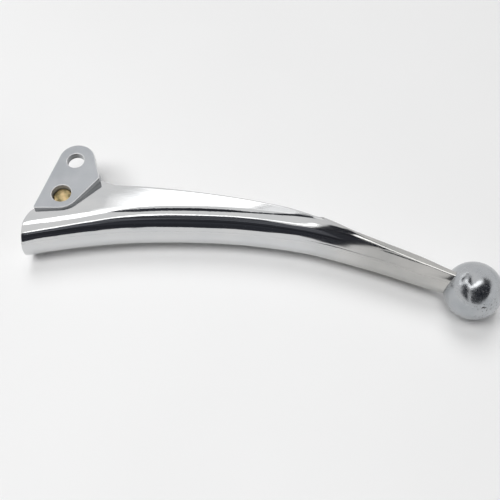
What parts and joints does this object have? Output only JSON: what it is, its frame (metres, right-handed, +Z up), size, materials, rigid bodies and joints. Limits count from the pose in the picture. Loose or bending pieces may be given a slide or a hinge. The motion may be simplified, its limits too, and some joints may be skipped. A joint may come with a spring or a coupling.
{
  "type": "clutch lever",
  "caption": "Motorcycle clutch lever: a chromed open-backed pressed blade with flat ears, a swivelling cable barrel and a ball end.",
  "frame": {"origin": "bottom centre of the whole lever's box, lying on one side: the lowest point of the ball end is on Z = 0", "axes": "+X along the blade from the ears to the ball, +Y away from the fingers towards the pivot, +Z up through both ears along the pivot's axis"},
  "size_m": [0.1678, 0.0438, 0.02],
  "materials": {
    "blade_chrome": "polished bright chrome plate",
    "ear_steel": "satin plated steel plate",
    "barrel_brass": "dull turned brass",
    "ball_chrome": "worn, lightly pitted chrome plate"
  },
  "bodies": {
    "lever": {"blade": "blade_chrome", "upper_ear": "ear_steel", "lower_ear": "ear_steel", "ball_end": "ball_chrome"},
    "barrel": {"cable_barrel": "barrel_brass"}
  },
  "joints": [
    {"name": "barrel_swivel", "type": "hinge", "parent": "lever", "child": "barrel", "pos_m": [-0.0735, 0.0004, 0.01], "axis": [0, 0, 1], "continuous": true}
  ]
}
